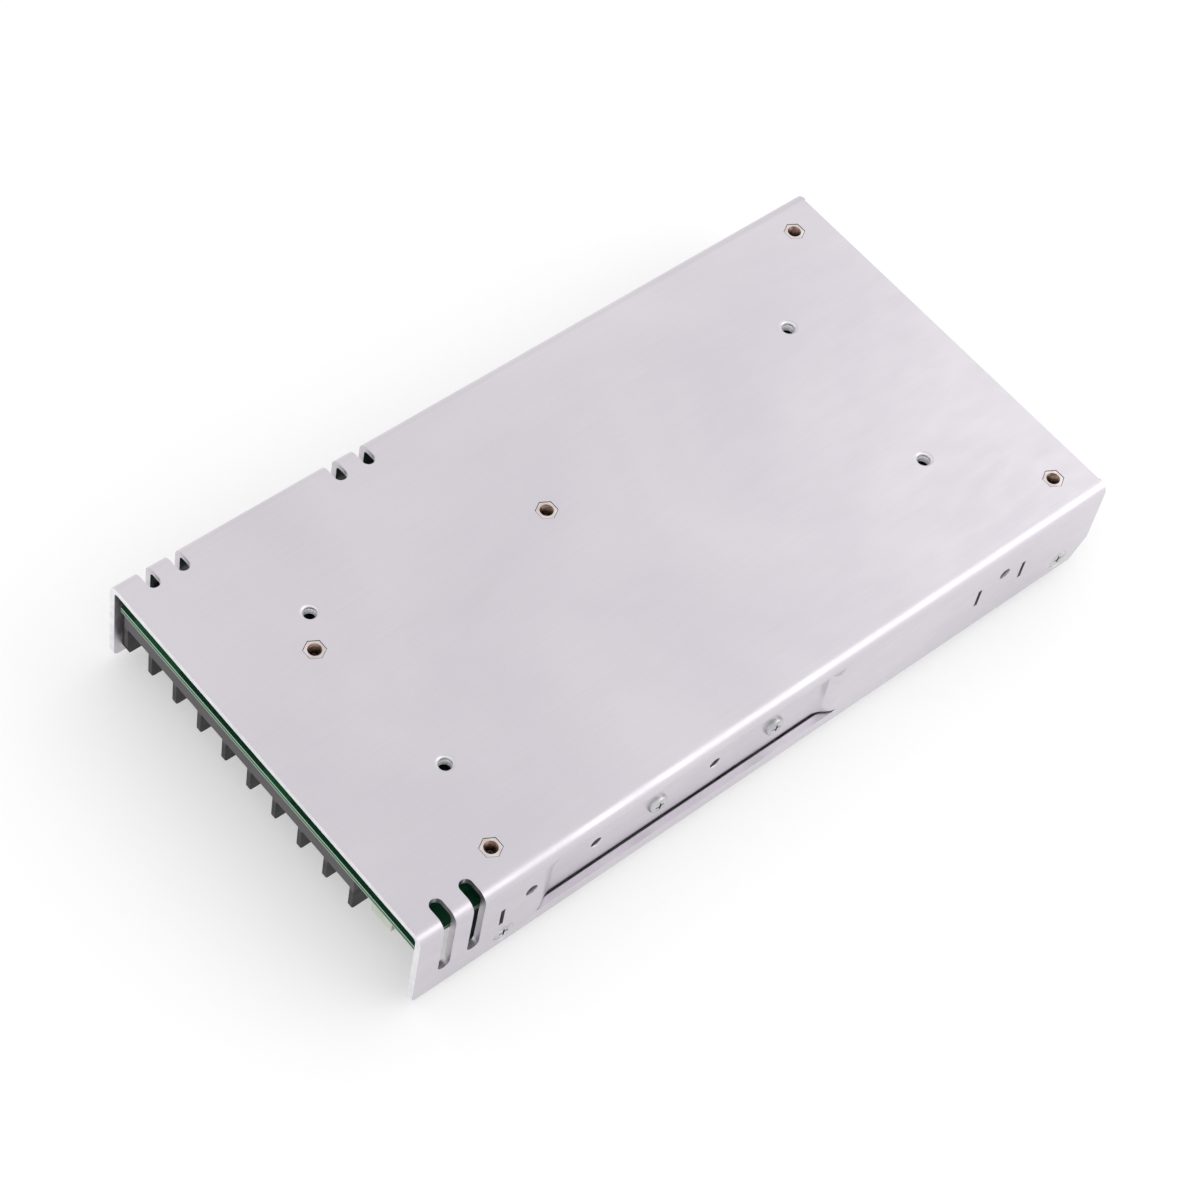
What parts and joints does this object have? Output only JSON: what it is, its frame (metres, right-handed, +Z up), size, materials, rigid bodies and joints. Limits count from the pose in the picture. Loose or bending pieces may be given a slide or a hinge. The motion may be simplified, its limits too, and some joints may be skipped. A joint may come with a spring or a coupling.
{
  "type": "enclosed switching power supply",
  "caption": "Flat power supply in a folded aluminium case with a perforated cover, a barrier terminal block, a turning trimmer and a sliding input selector.",
  "frame": {"origin": "middle of the case's footprint, on the surface that the perforated cover lies on", "axes": "+X along the case from the terminal end to the far end, +Y across it towards the wall with the input selector, +Z up towards the base plate"},
  "size_m": [0.215, 0.115, 0.03],
  "materials": {
    "case_aluminium": "satin",
    "cover_aluminium": "satin",
    "screw_steel": "satin",
    "terminal_steel": "satin",
    "tinned_brass": "satin",
    "standoff_brass": "satin",
    "board_laminate": "satin",
    "insulation_film": "satin",
    "block_plastic": "matt",
    "trimmer_plastic": "matt",
    "rotor_plastic": "matt",
    "lamp_epoxy": "gloss",
    "selector_plastic": "satin",
    "slider_plastic": "matt",
    "device_epoxy": "matt",
    "pad_silicone": "matt",
    "bar_steel": "satin",
    "sink_aluminium": "satin",
    "ferrite": "matt",
    "powder_core": "matt",
    "copper_wire": "satin",
    "winding_tape": "satin",
    "bobbin_plastic": "matt",
    "fuse_glass": "clear",
    "thermistor_coat": "matt",
    "varistor_coat": "satin",
    "film_capacitor": "satin",
    "snubber_coat": "satin",
    "capacitor_sleeve": "satin",
    "resistor_coat": "matt"
  },
  "bodies": {
    "supply": {"chassis": "case_aluminium", "mesh_cover": "cover_aluminium", "cover_flanges": "cover_aluminium", "cover_screws": "screw_steel", "pcb_screws": "screw_steel", "clamp_screws": "screw_steel", "heatsink_screws": "screw_steel", "terminal_screws": "terminal_steel", "wire_clamps": "terminal_steel", "terminal_contacts": "tinned_brass", "fuse_clips": "tinned_brass", "pcb_standoffs": "standoff_brass", "circuit_board": "board_laminate", "insulation_sheet": "insulation_film", "terminal_block": "block_plastic", "trimmer_body": "trimmer_plastic", "indicator_lamp": "lamp_epoxy", "selector_body": "selector_plastic", "output_rectifiers": "device_epoxy", "power_transistors": "device_epoxy", "bridge_rectifier": "device_epoxy", "control_chips": "device_epoxy", "optocouplers": "device_epoxy", "thermal_pads": "pad_silicone", "clamp_bars": "bar_steel", "heatsink": "sink_aluminium", "transformer_core": "ferrite", "line_choke_core": "ferrite", "output_choke_core": "powder_core", "line_choke_windings": "copper_wire", "output_choke_winding": "copper_wire", "transformer_winding": "winding_tape", "auxiliary_transformer": "winding_tape", "transformer_bobbin": "bobbin_plastic", "fuse": "fuse_glass", "thermistor": "thermistor_coat", "varistor": "varistor_coat", "y_capacitors": "varistor_coat", "x_capacitor": "film_capacitor", "snubber_capacitor": "snubber_coat", "bulk_capacitors": "capacitor_sleeve", "output_capacitors": "capacitor_sleeve", "small_capacitors": "capacitor_sleeve", "power_resistors": "resistor_coat"},
    "rotor": {"trimmer_rotor": "rotor_plastic"},
    "slider": {"selector_slider": "slider_plastic"}
  },
  "joints": [
    {"name": "trimmer_turn", "type": "hinge", "parent": "supply", "child": "rotor", "pos_m": [-0.101, -0.0415, 0.0133], "axis": [0, 0, 1], "range_deg": [-105, 105]},
    {"name": "selector_slide", "type": "slide", "parent": "supply", "child": "slider", "axis": [1, 0, 0], "range_m": [0, 0.0055]}
  ]
}
